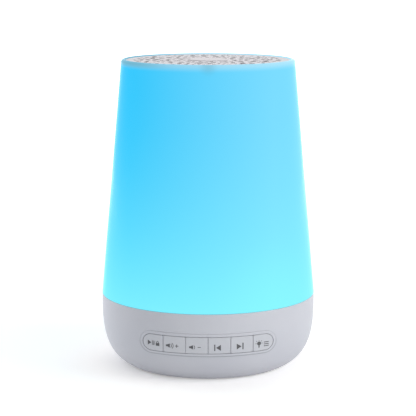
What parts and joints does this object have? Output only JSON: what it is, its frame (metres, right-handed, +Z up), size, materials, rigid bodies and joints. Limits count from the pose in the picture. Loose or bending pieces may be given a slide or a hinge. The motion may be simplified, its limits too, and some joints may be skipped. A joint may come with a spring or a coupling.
{
  "type": "white noise sound machine",
  "caption": "Tapered white noise sound machine: a lit milky shade over a rounded grey base with a row of keys, a perforated speaker grille on top and a charging socket at the back.",
  "frame": {"origin": "on the floor under the middle of the base", "axes": "+Z up, the keys face -Y and the charging socket faces +Y"},
  "size_m": [0.105, 0.1052, 0.15],
  "materials": {
    "base_plastic": "fine matt moulded grey",
    "key_plastic": "fine matt moulded grey",
    "lit_shade": "milky white plastic, lit sky blue from inside",
    "grille_plastic": "matt warm light grey",
    "grille_cloth": "woven black acoustic cloth",
    "foot_rubber": "matt",
    "steel": "zinc plated",
    "pressed_steel": "plated",
    "socket_steel": "plated",
    "switch_black": "moulded",
    "switch_plunger": "moulded",
    "circuit_board": "solder mask over glass laminate",
    "led_board_white": "white solder mask",
    "led_lens": "clear resin over phosphor",
    "deck_white": "white reflective plastic",
    "housing_dark": "black plastic",
    "gasket_foam": "closed-cell foam",
    "ferrite": null,
    "surround_rubber": "satin",
    "spider_cloth": "resin-stiffened cloth",
    "cone_paper": null,
    "coil_former": "foil",
    "copper_wire": null,
    "strip_board": "phenolic board",
    "brass": "tinned",
    "chip_black": "moulded",
    "capacitor_sleeve": "sleeve over an aluminium can",
    "cell_wrap": "shrink wrap over a steel can",
    "connector_nylon": "nylon",
    "wire_black": "insulation",
    "wire_red": "insulation",
    "wire_white": "insulation",
    "ribbon_grey": "flat cable insulation"
  },
  "bodies": {
    "housing": {"base_shell": "base_plastic", "bottom_plate": "base_plastic", "bottom_screws": "steel", "feet": "foot_rubber", "switch_housings": "switch_black", "key_board": "circuit_board", "key_board_screws": "steel", "light_deck": "deck_white", "deck_screws": "steel", "led_board": "led_board_white", "leds": "led_lens", "led_board_screws": "steel", "column": "deck_white", "column_screws": "steel", "lamp_shade": "lit_shade", "grille": "grille_plastic", "grille_cloth": "grille_cloth", "grille_screws": "steel", "speaker_horn": "housing_dark", "speaker_cup": "housing_dark", "speaker_gasket": "gasket_foam", "speaker_basket": "pressed_steel", "speaker_front_plate": "pressed_steel", "speaker_magnet": "ferrite", "speaker_yoke": "pressed_steel", "speaker_surround": "surround_rubber", "speaker_spider": "spider_cloth", "terminal_strip": "strip_board", "speaker_terminals": "brass", "main_board": "circuit_board", "main_board_screws": "steel", "controller_chip": "chip_black", "amplifier_chip": "chip_black", "charging_coil": "ferrite", "capacitors": "capacitor_sleeve", "usb_socket": "socket_steel", "battery_cell": "cell_wrap", "battery_strap": "housing_dark", "strap_screws": "steel", "board_connectors": "connector_nylon", "speaker_leads": "wire_black", "battery_leads": "wire_red", "light_leads": "wire_white", "key_ribbon": "ribbon_grey"},
    "play_key": {"key_play": "key_plastic", "switch_plunger_play": "switch_plunger"},
    "volume_up_key": {"key_volume_up": "key_plastic", "switch_plunger_volume_up": "switch_plunger"},
    "volume_down_key": {"key_volume_down": "key_plastic", "switch_plunger_volume_down": "switch_plunger"},
    "previous_key": {"key_previous": "key_plastic", "switch_plunger_previous": "switch_plunger"},
    "next_key": {"key_next": "key_plastic", "switch_plunger_next": "switch_plunger"},
    "lamp_key": {"key_lamp": "key_plastic", "switch_plunger_lamp": "switch_plunger"},
    "cone": {"speaker_cone": "cone_paper", "dust_cap": "cone_paper", "voice_coil_former": "coil_former", "voice_coil": "copper_wire"}
  },
  "joints": [
    {"name": "play_key_press", "type": "slide", "parent": "housing", "child": "play_key", "axis": [0, 1, 0], "range_m": [0, 0.0005], "stiffness_N_per_m": 900, "springref_m": -0.0006},
    {"name": "volume_up_key_press", "type": "slide", "parent": "housing", "child": "volume_up_key", "axis": [0, 1, 0], "range_m": [0, 0.0005], "stiffness_N_per_m": 900, "springref_m": -0.0006},
    {"name": "volume_down_key_press", "type": "slide", "parent": "housing", "child": "volume_down_key", "axis": [0, 1, 0], "range_m": [0, 0.0005], "stiffness_N_per_m": 900, "springref_m": -0.0006},
    {"name": "previous_key_press", "type": "slide", "parent": "housing", "child": "previous_key", "axis": [0, 1, 0], "range_m": [0, 0.0005], "stiffness_N_per_m": 900, "springref_m": -0.0006},
    {"name": "next_key_press", "type": "slide", "parent": "housing", "child": "next_key", "axis": [0, 1, 0], "range_m": [0, 0.0005], "stiffness_N_per_m": 900, "springref_m": -0.0006},
    {"name": "lamp_key_press", "type": "slide", "parent": "housing", "child": "lamp_key", "axis": [0, 1, 0], "range_m": [0, 0.0005], "stiffness_N_per_m": 900, "springref_m": -0.0006},
    {"name": "cone_stroke", "type": "slide", "parent": "housing", "child": "cone", "axis": [0, 0, 1], "range_m": [-0.0008, 0.0008], "stiffness_N_per_m": 2200, "deforming": ["speaker_surround", "speaker_spider"]}
  ]
}
